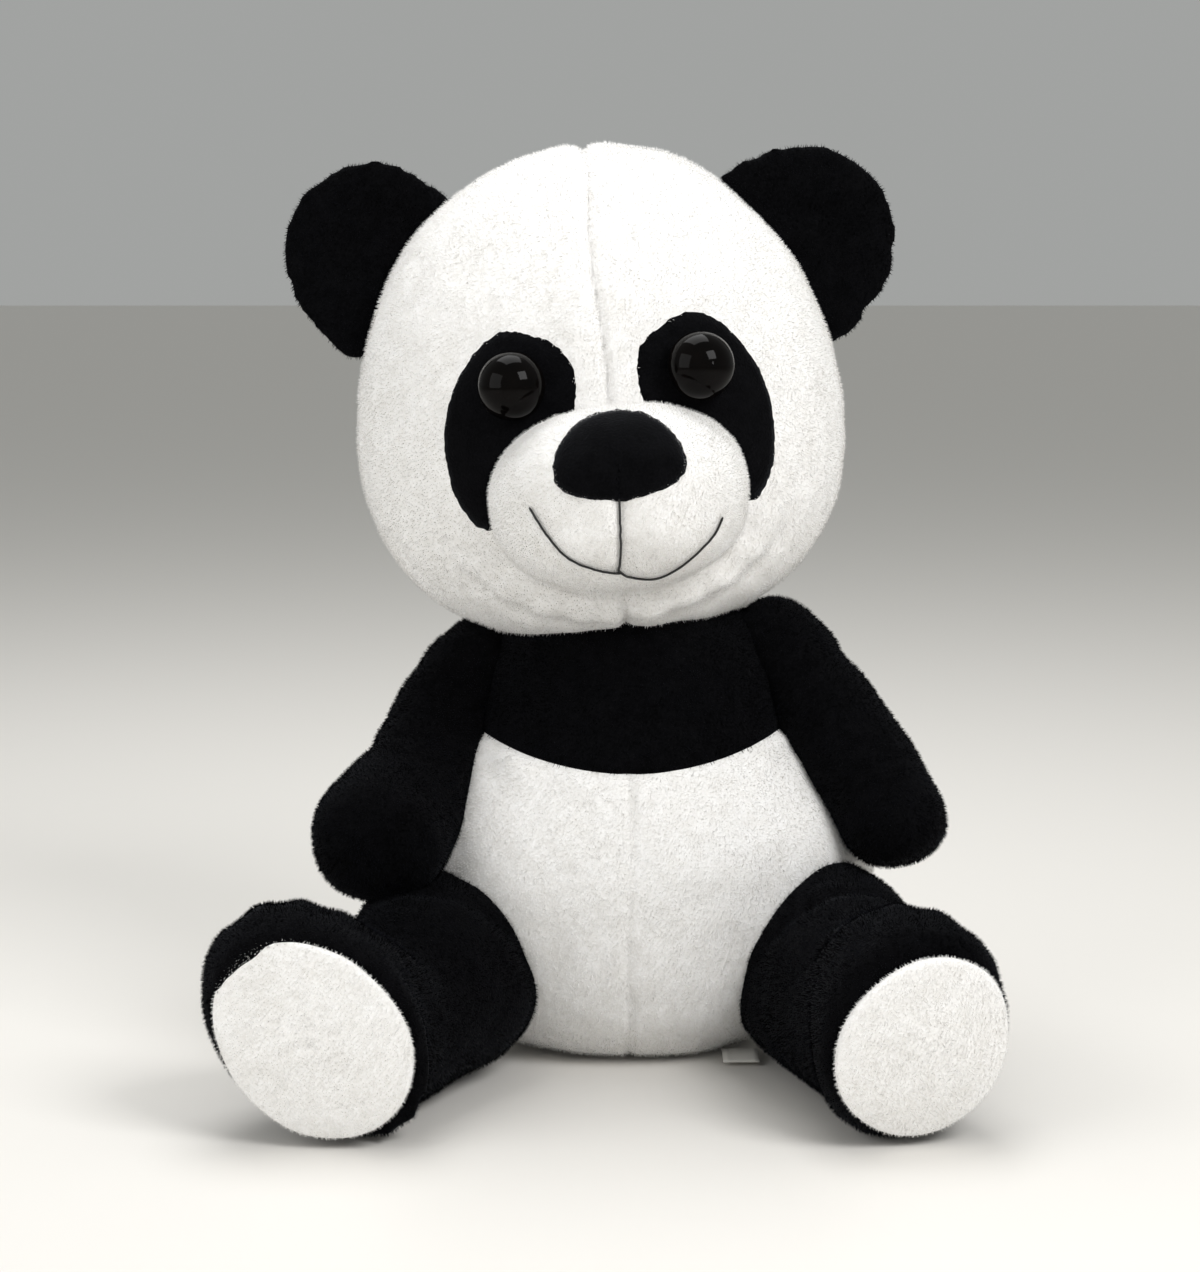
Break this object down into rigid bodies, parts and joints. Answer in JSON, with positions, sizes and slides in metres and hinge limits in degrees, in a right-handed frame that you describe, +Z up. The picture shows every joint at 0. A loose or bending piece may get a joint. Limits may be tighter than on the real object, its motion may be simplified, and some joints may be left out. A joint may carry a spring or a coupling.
{
  "type": "plush panda",
  "caption": "Seated stuffed plush panda with sewn cloth panels, fibre filling, safety eyes, and a head, ears, arms and legs that flex on fabric hinges.",
  "frame": {"origin": "centre of the flat seat, on the surface that the toy sits on", "axes": "+Z up, the toy faces -Y, and its own left side is +X"},
  "size_m": [0.2264, 0.1889, 0.2814],
  "materials": {
    "white_plush": "matte",
    "black_plush": "matte",
    "eye_plastic": "gloss",
    "washer_plastic": "satin",
    "black_thread": "satin",
    "fibre_filling": "matte",
    "pellet_cloth": "matte",
    "label_tape": "satin"
  },
  "bodies": {
    "torso": {"chest_panel": "black_plush", "upper_back_left": "black_plush", "upper_back_right": "black_plush", "belly_left": "white_plush", "belly_right": "white_plush", "lower_back_left": "white_plush", "lower_back_right": "white_plush", "seat_panel": "white_plush", "torso_stuffing": "fibre_filling", "pellet_bag": "pellet_cloth", "care_label": "label_tape"},
    "neck": {"neck_stuffing": "fibre_filling"},
    "head": {"head_front_left": "white_plush", "head_front_right": "white_plush", "head_back_left": "white_plush", "head_back_right": "white_plush", "head_stuffing": "fibre_filling", "muzzle": "white_plush", "muzzle_stuffing": "fibre_filling", "nose": "black_plush", "mouth_stitching": "black_thread", "eye_patch_left": "black_plush", "eye_patch_right": "black_plush", "eye_left": "eye_plastic", "eye_right": "eye_plastic", "eye_washer_left": "washer_plastic", "eye_washer_right": "washer_plastic"},
    "ear_left": {"ear_front_left": "black_plush", "ear_back_left": "black_plush"},
    "arm_left": {"arm_outer_left": "black_plush", "arm_inner_left": "black_plush", "arm_stuffing_left": "fibre_filling"},
    "leg_left": {"leg_upper_left": "black_plush", "leg_lower_left": "black_plush", "sole_left": "white_plush", "leg_stuffing_left": "fibre_filling"},
    "ear_right": {"ear_front_right": "black_plush", "ear_back_right": "black_plush"},
    "arm_right": {"arm_outer_right": "black_plush", "arm_inner_right": "black_plush", "arm_stuffing_right": "fibre_filling"},
    "leg_right": {"leg_upper_right": "black_plush", "leg_lower_right": "black_plush", "sole_right": "white_plush", "leg_stuffing_right": "fibre_filling"}
  },
  "joints": [
    {"name": "neck_turn", "type": "hinge", "parent": "torso", "child": "neck", "pos_m": [-0.001, 0.002, 0.126], "axis": [0, 0, 1], "range_deg": [-25, 25], "stiffness_Nm_per_rad": 0.8},
    {"name": "head_nod", "type": "hinge", "parent": "neck", "child": "head", "pos_m": [-0.001, 0.002, 0.126], "axis": [1, 0, 0], "range_deg": [-10, 12], "stiffness_Nm_per_rad": 1.5},
    {"name": "ear_left_fold", "type": "hinge", "parent": "head", "child": "ear_left", "pos_m": [0.05077, 0.00661, 0.2468], "axis": [-0.5801, -0.0253, 0.8141], "range_deg": [-20, 20], "stiffness_Nm_per_rad": 0.05},
    {"name": "ear_right_fold", "type": "hinge", "parent": "head", "child": "ear_right", "pos_m": [-0.07294, 0.00121, 0.24085], "axis": [0.4995, 0.0218, 0.866], "range_deg": [-20, 20], "stiffness_Nm_per_rad": 0.05},
    {"name": "shoulder_left_lift", "type": "hinge", "parent": "torso", "child": "arm_left", "pos_m": [0.057, -0.003, 0.113], "axis": [0, -1, 0], "range_deg": [0, 45], "stiffness_Nm_per_rad": 0.3},
    {"name": "shoulder_right_lift", "type": "hinge", "parent": "torso", "child": "arm_right", "pos_m": [-0.058, -0.003, 0.112], "axis": [0, 1, 0], "range_deg": [0, 45], "stiffness_Nm_per_rad": 0.3},
    {"name": "hip_left_drop", "type": "hinge", "parent": "torso", "child": "leg_left", "pos_m": [0.058, -0.03, 0.03], "axis": [1, 0, 0], "range_deg": [0, 35], "stiffness_Nm_per_rad": 1},
    {"name": "hip_right_drop", "type": "hinge", "parent": "torso", "child": "leg_right", "pos_m": [-0.058, -0.03, 0.03], "axis": [1, 0, 0], "range_deg": [0, 35], "stiffness_Nm_per_rad": 1}
  ]
}
